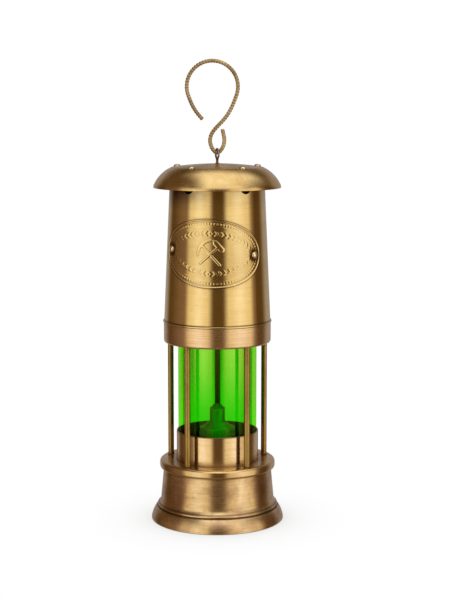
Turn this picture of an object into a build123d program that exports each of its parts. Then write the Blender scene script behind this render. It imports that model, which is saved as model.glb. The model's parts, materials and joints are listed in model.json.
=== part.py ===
from build123d import *
import math
import os

# Miner's safety lamp, millimetres. Origin: centre of the foot's underside. +Z is up,
# and the name plate faces -Y. The upper frame unscrews from the oil vessel.

# Repeating pattern shared by the pillars, their screws, the vents and the hood rivets
PATTERN_COUNT = 5
PATTERN_START = 36.0
PATTERN_ANGLES = [PATTERN_START + 360.0 / PATTERN_COUNT * step for step in range(PATTERN_COUNT)]

# Oil vessel
FOOT_R = 43.5
FOOT_EDGE_Z = 2.1
OVOLO_MIDDLE = (FOOT_R - 2.0, 6.9)
OVOLO_TOP = (FOOT_R - 3.4, 9.0)
BEAD_FOOT = (39.0, 9.3)
BEAD_R = 39.55
BEAD_Z = 10.15
BEAD_TOP = (38.7, 11.3)
COVE_MIDDLE = (37.7, 12.6)
COVE_R = 37.2
COVE_Z = 14.5
DECK_R = 35.4
DECK_Z = 34.4
SHELL_WALL = 1.6
BOTTOM_PLATE_R = 40.4
BOTTOM_PLATE_T = 1.2
BOTTOM_RECESS_Z = 3.2
WADDING_R = 31.0
WADDING_HOLE_R = 6.5
WADDING_Z = (4.0, 26.0)

# Screw joint between the vessel and the frame
COLLAR_ROOT_R = 23.9
COLLAR_CREST_R = 24.6
COLLAR_BORE_R = 21.4
COLLAR_TOP_Z = 42.4
COLLAR_FLANGE_R = 27.0
COLLAR_FLANGE_T = 1.6
COLLAR_WEB_T = 2.0
COLLAR_THREAD_Z = 35.6
DECK_HOLE_R = 24.4
THREAD_LEAD = 2.0
THREAD_TURNS = 3.0
RIDGE_FOOT = 0.38
RIDGE_TIP = 0.08
RIDGE_ROOTING = 0.2
RUNNING_GAP = 0.06
SEAT_GAP = 0.05
SEAL_CLEARANCE = 0.3

# Burner
BURNER_R = 11.5
BURNER_Z = (45.4, 61.0)
BURNER_SHOULDER_Z = 64.5
BURNER_SHOULDER_R = 6.2
BURNER_SLOPE = (8.4, 62.2)
BURNER_STEM_R = 6.6
BURNER_STEM_Z = 38.6
BURNER_THREAD_R = 7.0
BURNER_THREAD_Z = 39.6
BURNER_LEAD = 1.5
BURNER_SEAL_R = (7.2, 10.7)
BOSS_R = 11.0
BOSS_Z = (38.4, 44.4)
KNURL_COUNT = 40
KNURL_DEPTH = 0.35
KNURL_WIDTH = 0.6
KNURL_MARGIN = 1.5
WICK_TUBE_R = 5.0
WICK_TUBE_BORE_R = 3.6
WICK_TUBE_Z = (33.0, 74.0)
WICK_R = 3.5
WICK_Z = (7.0, 76.5)

# Pillar cage, glass and its cup
LOWER_RING_R = 37.9
LOWER_RING_TOP_Z = 40.2
LOWER_RING_ROUNDING = 1.0
CUP_R = 26.8
CUP_TOP_Z = 59.4
CUP_BEVEL = (0.3, 0.5)
CUP_SHELF_Z = (43.4, 45.0)
SEAL_GROOVE_R = 29.6
SEAL_GROOVE_T = 1.2
GLASS_R = 25.7
GLASS_BORE_R = 22.7
GLASS_Z = (46.5, 121.0)
GASKET_T = 1.5
GASKET_BORE_R = 22.9
GLASS_SEAT_R = 25.9
PILLAR_R = 2.0
PILLAR_CIRCLE_R = 32.5
PILLAR_TOP_Z = 118.3
TENON_R = 1.3
TENON_LENGTH = 5.0
SCREW_R = 1.25
SCREW_HEAD_R = 2.5
SCREW_HEAD_T = 1.7
SCREW_LENGTH = 11.0
SCREW_SLOT = (0.7, 0.6)
TAPPING_EXTRA = 0.5
BAND_R = 34.95
BAND_WALL_R = 33.5
BAND_WEB_Z = 125.5
BAND_TOP_Z = 131.5

# Gauze
GAUZE_RING_R = (24.0, 28.0)
GAUZE_RING_TOP_Z = 128.0
GAUZE_BASE_R = 23.9
GAUZE_CAP_R = 18.0
GAUZE_TOP_Z = 205.0
GAUZE_T = 0.6

# Bonnet
BONNET_WALL = 0.9
BONNET_LOW_R = 34.66
BONNET_LIP_R = 35.4
BONNET_LIP_TOP_Z = 132.7
BONNET_TAPER = 3.6 / 82.0
BONNET_TOP_Z = 230.3
BONNET_SKIRT_R = 33.45
BONNET_SKIRT_Z = 126.2
VENT_R = 4.0
VENT_Z = 220.0
DRILL_START_R = 25.5

# Name plate, curved to the bonnet
PLATE_HALF_LENGTH = 36.5
PLATE_HALF_HEIGHT = 22.0
PLATE_Z = 179.0
PLATE_T = 1.0
PLATE_AZIMUTH = -7.5
PLATE_TILT = -3.0
PLATE_RIVET_ARC = 30.9
PLATE_RIVET_R = 1.1
PLATE_RIVET_HEAD_R = 2.25
PLATE_RIVET_HEAD_H = 1.3
PLATE_RIVET_SEAT = 0.15
PLATE_RIVET_TAIL = 1.0

# Hood
HOOD_TOP_Z = 234.2
HOOD_CROWN_R = 29.6
HOOD_CROWN_Z = 232.0
HOOD_RIM_R = 41.3
HOOD_RIM_Z = 218.8
HOOD_SHOULDER = (37.1, 226.6)
HOOD_LIP_H = 1.4
HOOD_LIP_SLOPE = 0.1
HOOD_SHEET = 1.0
HOOD_SHEET_ON_SHOULDER = 0.75
HOOD_RIVET_CIRCLE_R = 27.6
HOOD_RIVET_R = 1.2
HOOD_RIVET_HEAD_R = 2.2
HOOD_RIVET_HEAD_H = 1.3
HOOD_RIVET_TAIL = (1.8, 0.8)
HOOD_RIVET_SEAT = 0.03
CROWN_RING_R = (24.6, 29.4)
CROWN_RING_Z = 229.0
CROWN_RING_GAP = 0.02

# Hanging eye and hook
EYE_WIRE_R = 0.65
EYE_LOOP_R = 3.6
EYE_LOOP_Z = 240.0
EYE_NECK_Z = 236.0
EYE_LEG_Y = 0.75
EYE_TURN = 15.0
EYE_HOLE_R = EYE_LEG_Y + EYE_WIRE_R + 0.1
EYE_TAIL_Y = 4.6
EYE_TAIL_Z = 231.2
EYE_TAIL_SPREAD = (-0.4, 1.4)
WASHER_R = 5.5
WASHER_T = 0.9
HOOK_WIRE_R = 1.3
HOOK_BEND_Z = 241.25
HOOK_LOOP_R = 16.4
HOOK_ARC_END = 20.0

# Places along the hook: sideways, and upwards from the bottom of its small bend
HOOK_CENTRE = (-3.1, 42.05)
HOOK_TIP = (-9.3, 21.15)
HOOK_TIP_CURVE = (-15.5, 29.35)
HOOK_TIP_RUN = (-0.7, 0.75)
HOOK_CROSSING = (4.3, 21.15)
HOOK_BEND_SIDE = (4.4, 5.95)
HOOK_FREE_END = (3.4, 15.05)
HOOK_FREE_RUN = (-0.1, 1)


def bonnet_radius(z):
    """Outer radius of the tapering bonnet at height z."""
    return BONNET_LOW_R - BONNET_TAPER * (z - BONNET_LIP_TOP_Z)


def turned(points):
    """Solid of revolution from (radius, height) corners."""
    return revolve(Plane.XZ * make_face(Polyline(*points, close=True)), Axis.Z)


def ring(inner, outer, low, high):
    """Plain ring or tube between two radii and two heights."""
    return turned([(inner, low), (outer, low), (outer, high), (inner, high)])


def disc(radius, low, high):
    return Pos(0, 0, low) * Cylinder(radius, high - low, align=(Align.CENTER, Align.CENTER, Align.MIN))


def front_peg(radius, inner, outer, z):
    """Cylinder along -Y, from one distance off the axis to another."""
    peg = Cylinder(radius, outer - inner, align=(Align.CENTER, Align.CENTER, Align.MIN))
    return Pos(0, -inner, z) * (Rot(90, 0, 0) * peg)


def upright_rod(radius, circle, low, high):
    return Pos(0, -circle, 0) * disc(radius, low, high)


def spread(shape):
    """Copies of a front feature at every place of the shared pattern."""
    return [Rot(0, 0, angle) * shape for angle in PATTERN_ANGLES]


def cut_all(body, tools):
    for tool in tools:
        body = body - tool
    return body


def dome_head(radius, height):
    """Domed rivet head standing on z = 0."""
    dome_r = (radius ** 2 + height ** 2) / (2 * height)
    return Pos(0, 0, height - dome_r) * Sphere(dome_r) & disc(radius, 0, height)


def thread_ridge(root, crest, low, lead, turns):
    """Helical ridge standing on a cylinder of radius root."""
    height = crest - root
    path = Helix(pitch=lead, height=lead * turns, radius=root, center=(0, 0, low))
    section_plane = Plane(origin=path @ 0, z_dir=path % 0, x_dir=(1, 0, 0))
    foot = lead * RIDGE_FOOT
    tip = lead * RIDGE_TIP
    rooted = -RIDGE_ROOTING
    section = Polyline((rooted, -foot), (height, -tip), (height, tip), (rooted, foot), close=True)
    return sweep(section_plane * make_face(section), path=path, is_frenet=True)


# ---- Oil vessel -------------------------------------------------------------------

def base_shell():
    """Spun vessel: rounded foot, bead, cove and a gently tapering wall under a flat deck."""
    outline = [
        Line((FOOT_R, 0), (FOOT_R, FOOT_EDGE_Z)),
        ThreePointArc((FOOT_R, FOOT_EDGE_Z), OVOLO_MIDDLE, OVOLO_TOP),
        Line(OVOLO_TOP, BEAD_FOOT),
        ThreePointArc(BEAD_FOOT, (BEAD_R, BEAD_Z), BEAD_TOP),
        ThreePointArc(BEAD_TOP, COVE_MIDDLE, (COVE_R, COVE_Z)),
        Line((COVE_R, COVE_Z), (DECK_R, DECK_Z)),
        Line((DECK_R, DECK_Z), (DECK_HOLE_R, DECK_Z)),
        Polyline(
            (DECK_HOLE_R, DECK_Z),
            (DECK_HOLE_R, DECK_Z - SHELL_WALL),
            (DECK_R - SHELL_WALL, DECK_Z - SHELL_WALL),
            (COVE_R - SHELL_WALL, COVE_Z),
            (COVE_R - SHELL_WALL, BEAD_Z),
            (BOTTOM_PLATE_R, BOTTOM_RECESS_Z),
            (BOTTOM_PLATE_R, 0),
            (FOOT_R, 0),
        ),
    ]
    return revolve(Plane.XZ * make_face(Curve() + outline), Axis.Z)


def bottom_plate():
    return disc(BOTTOM_PLATE_R, 0, BOTTOM_PLATE_T)


def oil_wadding():
    """Cotton that soaks up the oil, with a hole for the wick."""
    return ring(WADDING_HOLE_R, WADDING_R, *WADDING_Z)


def fount_collar():
    """Threaded collar on the deck, with the burner's boss in its web."""
    deck_under = DECK_Z - SHELL_WALL
    body = turned([
        (COLLAR_BORE_R, deck_under - COLLAR_FLANGE_T),
        (COLLAR_FLANGE_R, deck_under - COLLAR_FLANGE_T),
        (COLLAR_FLANGE_R, deck_under),
        (COLLAR_ROOT_R, deck_under),
        (COLLAR_ROOT_R, COLLAR_TOP_Z),
        (BOSS_R, COLLAR_TOP_Z),
        (BOSS_R, BOSS_Z[1]),
        (BURNER_THREAD_R + RUNNING_GAP, BOSS_Z[1]),
        (BURNER_THREAD_R + RUNNING_GAP, BOSS_Z[0]),
        (BOSS_R, BOSS_Z[0]),
        (BOSS_R, COLLAR_TOP_Z - COLLAR_WEB_T),
        (COLLAR_BORE_R, COLLAR_TOP_Z - COLLAR_WEB_T),
    ])
    return body + thread_ridge(COLLAR_ROOT_R, COLLAR_CREST_R, COLLAR_THREAD_Z, THREAD_LEAD, THREAD_TURNS)


def burner_seal():
    return ring(*BURNER_SEAL_R, BOSS_Z[1], BURNER_Z[0])


def burner_cap():
    """Knurled burner with a coned shoulder and a threaded stem, bored for the wick tube."""
    low, high = BURNER_Z
    body = turned([
        (WICK_TUBE_R, BURNER_STEM_Z),
        (BURNER_STEM_R, BURNER_STEM_Z),
        (BURNER_STEM_R, low),
        (BURNER_R, low),
        (BURNER_R, high),
        BURNER_SLOPE,
        (BURNER_SHOULDER_R, BURNER_SHOULDER_Z),
        (WICK_TUBE_R, BURNER_SHOULDER_Z),
    ])
    body = body + thread_ridge(BURNER_STEM_R, BURNER_THREAD_R, BURNER_THREAD_Z, BURNER_LEAD, THREAD_TURNS)
    groove_length = high - low - 2 * KNURL_MARGIN
    groove = Pos(0, -BURNER_R, (low + high) / 2) * Box(KNURL_WIDTH, 2 * KNURL_DEPTH, groove_length)
    return cut_all(body, [Rot(0, 0, 360.0 / KNURL_COUNT * step) * groove for step in range(KNURL_COUNT)])


def wick_tube():
    return ring(WICK_TUBE_BORE_R, WICK_TUBE_R, *WICK_TUBE_Z)


def wick():
    return disc(WICK_R, *WICK_Z)


def base_seal():
    """Washer between the vessel's deck and the lower ring."""
    low_r = CUP_R + SEAL_CLEARANCE
    high_r = SEAL_GROOVE_R - SEAL_CLEARANCE
    return ring(low_r, high_r, DECK_Z, DECK_Z + SEAL_GROOVE_T - 2 * SEAT_GAP)


# ---- Pillar cage and glass ---------------------------------------------------------

def lower_ring():
    """Pillar ring with a rounded rim, a washer groove below and countersunk screw holes."""
    edge = (DECK_Z + LOWER_RING_TOP_Z) / 2
    flat_r = LOWER_RING_R - LOWER_RING_ROUNDING
    outline = [
        Line((CUP_R, DECK_Z + SEAL_GROOVE_T), (SEAL_GROOVE_R, DECK_Z + SEAL_GROOVE_T)),
        Line((SEAL_GROOVE_R, DECK_Z + SEAL_GROOVE_T), (SEAL_GROOVE_R, DECK_Z)),
        Line((SEAL_GROOVE_R, DECK_Z), (flat_r, DECK_Z)),
        ThreePointArc((flat_r, DECK_Z), (LOWER_RING_R, edge), (flat_r, LOWER_RING_TOP_Z)),
        Line((flat_r, LOWER_RING_TOP_Z), (CUP_R, LOWER_RING_TOP_Z)),
        Line((CUP_R, LOWER_RING_TOP_Z), (CUP_R, DECK_Z + SEAL_GROOVE_T)),
    ]
    body = revolve(Plane.XZ * make_face(Curve() + outline), Axis.Z)
    shank_hole = upright_rod(SCREW_R + RUNNING_GAP, PILLAR_CIRCLE_R, DECK_Z, LOWER_RING_TOP_Z)
    sink = Cone(
        SCREW_HEAD_R + RUNNING_GAP,
        SCREW_R + RUNNING_GAP,
        SCREW_HEAD_T,
        align=(Align.CENTER, Align.CENTER, Align.MIN),
    )
    return cut_all(body, spread(shank_hole) + spread(Pos(0, -PILLAR_CIRCLE_R, DECK_Z + SEAT_GAP) * sink))


def glass_cup():
    """Cup that stands in the lower ring, screws over the collar and holds the glass."""
    bore = COLLAR_CREST_R + RUNNING_GAP
    return turned([
        (bore, DECK_Z + SEAT_GAP),
        (CUP_R, DECK_Z + SEAT_GAP),
        (CUP_R, CUP_TOP_Z - CUP_BEVEL[1]),
        (CUP_R - CUP_BEVEL[0], CUP_TOP_Z),
        (GLASS_SEAT_R, CUP_TOP_Z),
        (GLASS_SEAT_R, CUP_SHELF_Z[1]),
        (GLASS_BORE_R, CUP_SHELF_Z[1]),
        (GLASS_BORE_R, CUP_SHELF_Z[0]),
        (bore, CUP_SHELF_Z[0]),
    ])


def gasket(low):
    return ring(GASKET_BORE_R, GLASS_R, low, low + GASKET_T)


def glass():
    return ring(GLASS_BORE_R, GLASS_R, *GLASS_Z)


def pillars():
    """Shouldered pillars, tapped below and with a tenon screwed into the upper ring."""
    shaft = upright_rod(PILLAR_R, PILLAR_CIRCLE_R, LOWER_RING_TOP_Z, PILLAR_TOP_Z)
    tenon = upright_rod(TENON_R, PILLAR_CIRCLE_R, PILLAR_TOP_Z, PILLAR_TOP_Z + TENON_LENGTH)
    tapping = upright_rod(SCREW_R, PILLAR_CIRCLE_R, LOWER_RING_TOP_Z, DECK_Z + SCREW_LENGTH + TAPPING_EXTRA)
    return Compound(children=spread(shaft + tenon - tapping))


def pillar_screws():
    """Countersunk screws that hold the pillars from under the lower ring."""
    head = Cone(SCREW_HEAD_R, SCREW_R, SCREW_HEAD_T, align=(Align.CENTER, Align.CENTER, Align.MIN))
    seat = DECK_Z + SEAT_GAP
    shank = upright_rod(SCREW_R, PILLAR_CIRCLE_R, seat, DECK_Z + SCREW_LENGTH)
    slot_width, slot_depth = SCREW_SLOT
    slot = Pos(0, -PILLAR_CIRCLE_R, DECK_Z + slot_depth / 2) * Box(2 * SCREW_HEAD_R, slot_width, slot_depth)
    return Compound(children=spread(Pos(0, -PILLAR_CIRCLE_R, seat) * head + shank - slot))


def upper_ring():
    """Band over the pillars: glass seat below, web inside, and a wall for the bonnet's skirt."""
    glass_seat_top = GLASS_Z[1] + GASKET_T
    body = turned([
        (GLASS_SEAT_R, PILLAR_TOP_Z),
        (BAND_R, PILLAR_TOP_Z),
        (BAND_R, BAND_TOP_Z),
        (BAND_WALL_R, BAND_TOP_Z),
        (BAND_WALL_R, BAND_WEB_Z),
        (GLASS_BORE_R, BAND_WEB_Z),
        (GLASS_BORE_R, glass_seat_top),
        (GLASS_SEAT_R, glass_seat_top),
    ])
    tenon_hole = upright_rod(TENON_R, PILLAR_CIRCLE_R, PILLAR_TOP_Z, PILLAR_TOP_Z + TENON_LENGTH)
    return cut_all(body, spread(tenon_hole))


# ---- Gauze, bonnet and name plate --------------------------------------------------

def gauze_ring():
    return ring(GAUZE_RING_R[0], GAUZE_RING_R[1], BAND_WEB_Z, GAUZE_RING_TOP_Z)


def gauze():
    """Closed, tapering cap of fine wire cloth, modelled as one thin skin."""
    return turned([
        (GAUZE_BASE_R - GAUZE_T, BAND_WEB_Z),
        (GAUZE_BASE_R, BAND_WEB_Z),
        (GAUZE_BASE_R, GAUZE_RING_TOP_Z),
        (GAUZE_CAP_R, GAUZE_TOP_Z),
        (0, GAUZE_TOP_Z),
        (0, GAUZE_TOP_Z - GAUZE_T),
        (GAUZE_CAP_R - GAUZE_T, GAUZE_TOP_Z - GAUZE_T),
        (GAUZE_BASE_R - GAUZE_T, GAUZE_RING_TOP_Z),
    ])


def bonnet():
    """Tapering chimney with a lip on the band, a skirt inside it and vents under the hood."""
    top = bonnet_radius(BONNET_TOP_Z)
    low = bonnet_radius(BONNET_LIP_TOP_Z)
    body = turned([
        (BONNET_SKIRT_R, BONNET_SKIRT_Z),
        (BONNET_SKIRT_R, BAND_TOP_Z),
        (BONNET_LIP_R, BAND_TOP_Z),
        (BONNET_LIP_R, BONNET_LIP_TOP_Z),
        (low, BONNET_LIP_TOP_Z),
        (top, BONNET_TOP_Z),
        (top - BONNET_WALL, BONNET_TOP_Z),
        (low - BONNET_WALL, BONNET_LIP_TOP_Z),
        (BONNET_SKIRT_R - BONNET_WALL, BAND_TOP_Z),
        (BONNET_SKIRT_R - BONNET_WALL, BONNET_SKIRT_Z),
    ])
    vent = front_peg(VENT_R, DRILL_START_R, BONNET_LIP_R, VENT_Z)
    return cut_all(body, spread(vent) + plate_rivet_pegs(PLATE_RIVET_R))


def plate_rivet_places():
    """(azimuth, height) of the two plate rivets, on the tilted long axis of the plate."""
    swing = math.degrees(PLATE_RIVET_ARC / bonnet_radius(PLATE_Z))
    drop = PLATE_RIVET_ARC * math.sin(math.radians(PLATE_TILT))
    return [(PLATE_AZIMUTH + side * swing, PLATE_Z + side * drop) for side in (-1, 1)]


def plate_rivet_pegs(radius):
    """Drills for the plate rivets, from inside the bonnet outwards."""
    drill = (DRILL_START_R, 1.1 * BONNET_LIP_R)
    return [Rot(0, 0, azimuth) * front_peg(radius, *drill, z) for azimuth, z in plate_rivet_places()]


def plate_outline(steps=32):
    """Ellipse of the flat plate as it looks from the front once it is bent to the bonnet."""
    tilt = math.radians(PLATE_TILT)
    radius = bonnet_radius(PLATE_Z) + PLATE_T
    points = []
    for step in range(steps):
        turn = 2 * math.pi * step / steps
        along = PLATE_HALF_LENGTH * math.cos(turn)
        rise = PLATE_HALF_HEIGHT * math.sin(turn)
        arc = along * math.cos(tilt) - rise * math.sin(tilt)
        height = along * math.sin(tilt) + rise * math.cos(tilt)
        points.append((radius * math.sin(arc / radius), height))
    return points


def name_plate():
    """Oval plate bent around the bonnet and drilled for its two rivets."""
    low = PLATE_Z - 1.2 * PLATE_HALF_HEIGHT
    high = PLATE_Z + 1.2 * PLATE_HALF_HEIGHT
    skin = turned([
        (bonnet_radius(low), low),
        (bonnet_radius(low) + PLATE_T, low),
        (bonnet_radius(high) + PLATE_T, high),
        (bonnet_radius(high), high),
    ])
    outline = make_face(Spline(*plate_outline(), periodic=True))
    cutter = extrude(Plane.XZ * outline, amount=2 * BONNET_LIP_R)
    plate = Rot(0, 0, PLATE_AZIMUTH) * (skin & (Pos(0, 0, PLATE_Z) * cutter))
    return cut_all(plate, plate_rivet_pegs(PLATE_RIVET_R))


def plate_rivets():
    """Dome-headed rivets through the plate and the bonnet wall."""
    rivets = []
    for azimuth, z in plate_rivet_places():
        seat = bonnet_radius(z) + PLATE_T + PLATE_RIVET_SEAT
        tail = bonnet_radius(z) - BONNET_WALL - PLATE_RIVET_TAIL
        head = Pos(0, -seat, z) * (Rot(90, 0, 0) * dome_head(PLATE_RIVET_HEAD_R, PLATE_RIVET_HEAD_H))
        rivets.append(Rot(0, 0, azimuth) * (head + front_peg(PLATE_RIVET_R, tail, seat, z)))
    return Compound(children=rivets)


# ---- Hood --------------------------------------------------------------------------

def crown_arc(drop):
    """Crown outline of the hood, lowered by drop."""
    middle_r = HOOD_CROWN_R / 2
    sag = HOOD_TOP_Z - HOOD_CROWN_Z
    middle_z = HOOD_TOP_Z - sag / 4
    return ThreePointArc(
        (0, HOOD_TOP_Z - drop),
        (middle_r, middle_z - drop),
        (HOOD_CROWN_R, HOOD_CROWN_Z - drop),
    )


def hood():
    """Pressed hood: low crown, rounded shoulder and a sharp lower edge."""
    sheet = HOOD_SHEET
    shoulder_r, shoulder_z = HOOD_SHOULDER
    inward = sheet * HOOD_SHEET_ON_SHOULDER
    inner_shoulder = (shoulder_r - inward, shoulder_z - inward)
    lip = (HOOD_RIM_R - HOOD_LIP_SLOPE, HOOD_RIM_Z + HOOD_LIP_H)
    inner_lip = (HOOD_RIM_R - sheet - HOOD_LIP_SLOPE, HOOD_RIM_Z + HOOD_LIP_H)
    outline = Curve() + [
        crown_arc(0),
        ThreePointArc((HOOD_CROWN_R, HOOD_CROWN_Z), HOOD_SHOULDER, lip),
        Polyline(lip, (HOOD_RIM_R, HOOD_RIM_Z), (HOOD_RIM_R - sheet, HOOD_RIM_Z), inner_lip),
        ThreePointArc(inner_lip, inner_shoulder, (HOOD_CROWN_R, HOOD_CROWN_Z - sheet)),
        crown_arc(sheet),
        Line((0, HOOD_TOP_Z), (0, HOOD_TOP_Z - sheet)),
    ]
    body = revolve(Plane.XZ * make_face(outline), Axis.Z)
    rivet_hole = upright_rod(HOOD_RIVET_R, HOOD_RIVET_CIRCLE_R, CROWN_RING_Z, HOOD_TOP_Z)
    return cut_all(body, spread(rivet_hole) + [disc(EYE_HOLE_R, CROWN_RING_Z, HOOD_TOP_Z + HOOD_SHEET)])


def crown_ring():
    """Ring inside the top of the bonnet that carries the hood."""
    inner, outer = CROWN_RING_R
    blank = ring(inner, outer, CROWN_RING_Z, HOOD_TOP_Z)
    drop = HOOD_SHEET + CROWN_RING_GAP
    over = HOOD_TOP_Z + HOOD_SHEET
    under = Curve() + [
        crown_arc(drop),
        Polyline(
            (HOOD_CROWN_R, HOOD_CROWN_Z - drop),
            (HOOD_CROWN_R, over),
            (0, over),
            (0, HOOD_TOP_Z - drop),
        ),
    ]
    above = revolve(Plane.XZ * make_face(under), Axis.Z)
    rivet_hole = upright_rod(HOOD_RIVET_R, HOOD_RIVET_CIRCLE_R, CROWN_RING_Z, HOOD_TOP_Z)
    return cut_all(blank, [above] + spread(rivet_hole))


def hood_rivets():
    """Rivets through the hood and the crown ring, domed above and headed below."""
    sag = HOOD_TOP_Z - HOOD_CROWN_Z
    crown_radius = (HOOD_CROWN_R ** 2 + sag ** 2) / (2 * sag)
    slope = math.degrees(math.asin(HOOD_RIVET_CIRCLE_R / crown_radius))
    seat = HOOD_TOP_Z - HOOD_RIVET_CIRCLE_R ** 2 / (2 * crown_radius) + HOOD_RIVET_SEAT
    tail_r, tail_length = HOOD_RIVET_TAIL
    shank = upright_rod(HOOD_RIVET_R, HOOD_RIVET_CIRCLE_R, CROWN_RING_Z - tail_length, seat)
    tail = upright_rod(tail_r, HOOD_RIVET_CIRCLE_R, CROWN_RING_Z - tail_length, CROWN_RING_Z)
    leaning_head = Rot(slope, 0, 0) * dome_head(HOOD_RIVET_HEAD_R, HOOD_RIVET_HEAD_H)
    head = Pos(0, -HOOD_RIVET_CIRCLE_R, seat) * leaning_head
    return Compound(children=spread(shank + tail + head))


# ---- Hanging eye and hook ----------------------------------------------------------

def eye_washer():
    top = HOOD_TOP_Z - HOOD_SHEET - 2 * SEAT_GAP
    return ring(EYE_HOLE_R, WASHER_R, top - WASHER_T, top)


def wire(path, radius):
    """Round wire along a path."""
    section = Plane(origin=path @ 0, z_dir=path % 0) * Circle(radius)
    return sweep(section, path=path)


def split_pin_eye():
    """Split pin: a loop above the hood and two legs bent apart under the washer."""
    end_drop, bend_rise = EYE_TAIL_SPREAD
    tail = (-EYE_TAIL_Y, EYE_TAIL_Z + end_drop)
    bend = (-EYE_LEG_Y, EYE_TAIL_Z + bend_rise)
    top = (0, EYE_LOOP_Z + EYE_LOOP_R)
    diagonal = EYE_LOOP_R * math.sqrt(0.5)
    half = [
        Spline(tail, bend, tangents=[(1, 0), (0, 1)], tangent_scalars=[1.0, 1.0]),
        Line(bend, (-EYE_LEG_Y, EYE_NECK_Z)),
        Spline((-EYE_LEG_Y, EYE_NECK_Z), (-EYE_LOOP_R, EYE_LOOP_Z), tangents=[(0, 1), (0, 1)]),
        ThreePointArc((-EYE_LOOP_R, EYE_LOOP_Z), (-diagonal, EYE_LOOP_Z + diagonal), top),
    ]
    half_wire = wire(Plane.YZ * Wire(half), EYE_WIRE_R)
    other_half = Rot(0, 0, 180) * half_wire
    return Rot(0, 0, EYE_TURN) * (half_wire + other_half)


def above_bend(place, side=1):
    """Place on the hook in the XZ plane, mirrored sideways if side is -1."""
    return (side * place[0], HOOK_BEND_Z + place[1])


def hook_path():
    """Centreline: open tip, big loop, crossing diagonal, small bend through the eye, free end."""
    centre_x, centre_z = above_bend(HOOK_CENTRE)
    swing = math.radians(HOOK_ARC_END)
    reach = HOOK_LOOP_R * math.cos(swing)
    low = centre_z - HOOK_LOOP_R * math.sin(swing)
    left = (centre_x - reach, low)
    right = (centre_x + reach, low)
    left_run = (-math.sin(swing), math.cos(swing))
    right_run = (-math.sin(swing), -math.cos(swing))
    return Plane.XZ * Wire([
        Spline(above_bend(HOOK_TIP), above_bend(HOOK_TIP_CURVE), left, tangents=[HOOK_TIP_RUN, left_run]),
        ThreePointArc(left, (centre_x, centre_z + HOOK_LOOP_R), right),
        Spline(
            right,
            above_bend(HOOK_CROSSING),
            above_bend(HOOK_BEND_SIDE, -1),
            (0, HOOK_BEND_Z),
            above_bend(HOOK_BEND_SIDE),
            above_bend(HOOK_FREE_END),
            tangents=[right_run, HOOK_FREE_RUN],
        ),
    ])


def hook():
    return wire(hook_path(), HOOK_WIRE_R)


NODES = {
    "base_shell": base_shell,
    "base_bottom_plate": bottom_plate,
    "oil_wadding": oil_wadding,
    "fount_collar": fount_collar,
    "burner_seal": burner_seal,
    "burner_cap": burner_cap,
    "wick_tube": wick_tube,
    "wick": wick,
    "base_seal": base_seal,
    "lower_ring": lower_ring,
    "glass_cup": glass_cup,
    "lower_gasket": lambda: gasket(CUP_SHELF_Z[1]),
    "glass": glass,
    "upper_gasket": lambda: gasket(GLASS_Z[1]),
    "pillars": pillars,
    "pillar_screws": pillar_screws,
    "upper_ring": upper_ring,
    "gauze_ring": gauze_ring,
    "gauze": gauze,
    "bonnet": bonnet,
    "name_plate": name_plate,
    "plate_rivets": plate_rivets,
    "crown_ring": crown_ring,
    "hood": hood,
    "hood_rivets": hood_rivets,
    "eye_washer": eye_washer,
    "split_pin_eye": split_pin_eye,
    "hook": hook,
}

os.makedirs("parts", exist_ok=True)
for node, build in NODES.items():
    export_step(build(), f"parts/{node}.step")
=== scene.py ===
import json
import math

import bpy
import bmesh
import numpy as np
from mathutils import Matrix, Vector, noise


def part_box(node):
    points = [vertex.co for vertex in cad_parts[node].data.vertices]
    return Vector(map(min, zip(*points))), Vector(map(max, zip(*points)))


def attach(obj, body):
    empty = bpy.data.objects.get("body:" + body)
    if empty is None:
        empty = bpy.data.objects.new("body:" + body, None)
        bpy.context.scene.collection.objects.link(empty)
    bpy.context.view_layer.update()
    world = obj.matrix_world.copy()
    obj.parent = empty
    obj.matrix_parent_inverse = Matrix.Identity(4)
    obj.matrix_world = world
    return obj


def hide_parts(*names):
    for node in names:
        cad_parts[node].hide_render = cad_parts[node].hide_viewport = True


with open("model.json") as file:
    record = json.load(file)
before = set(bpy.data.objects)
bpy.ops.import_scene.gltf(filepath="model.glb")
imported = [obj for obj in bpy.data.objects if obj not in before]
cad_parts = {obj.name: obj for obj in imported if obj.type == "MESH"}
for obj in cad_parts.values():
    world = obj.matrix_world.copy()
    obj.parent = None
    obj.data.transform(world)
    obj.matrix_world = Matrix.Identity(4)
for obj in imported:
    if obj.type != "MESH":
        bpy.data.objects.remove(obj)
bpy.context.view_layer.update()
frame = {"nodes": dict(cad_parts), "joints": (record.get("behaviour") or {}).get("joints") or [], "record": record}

# Miner's safety lamp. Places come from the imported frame; small details are sized here, in millimetres.
MM = 0.001
PATTERN_ANGLES = [36.0 + 72.0 * step for step in range(5)]
SEGMENTS = 192
SHARP_ANGLE = math.radians(32.0)

# Radii that the cup, the glass and the band share.
GLASS_BORE_R = 22.7
GLASS_SEAT_R = 25.9

RECORD = frame["record"]
BODY_OF = {node: body for body, nodes in RECORD["behaviour"]["bodies"].items() for node in nodes}
JOINT = {joint["name"]: joint for joint in frame["joints"]}


# ---- Mesh tools ----

def top_of(node):
    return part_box(node)[1].z / MM


def foot_of(node):
    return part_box(node)[0].z / MM


def radius_of(node):
    """Largest radius of a node that is centred on the axis, in millimetres."""
    vertices = frame["nodes"][node].data.vertices
    return max(math.hypot(v.co.x, v.co.y) for v in vertices) / MM


def reach_of(node):
    """Largest radius, foot and top of a node that is centred on the axis, in millimetres."""
    return radius_of(node), foot_of(node), top_of(node)


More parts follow.
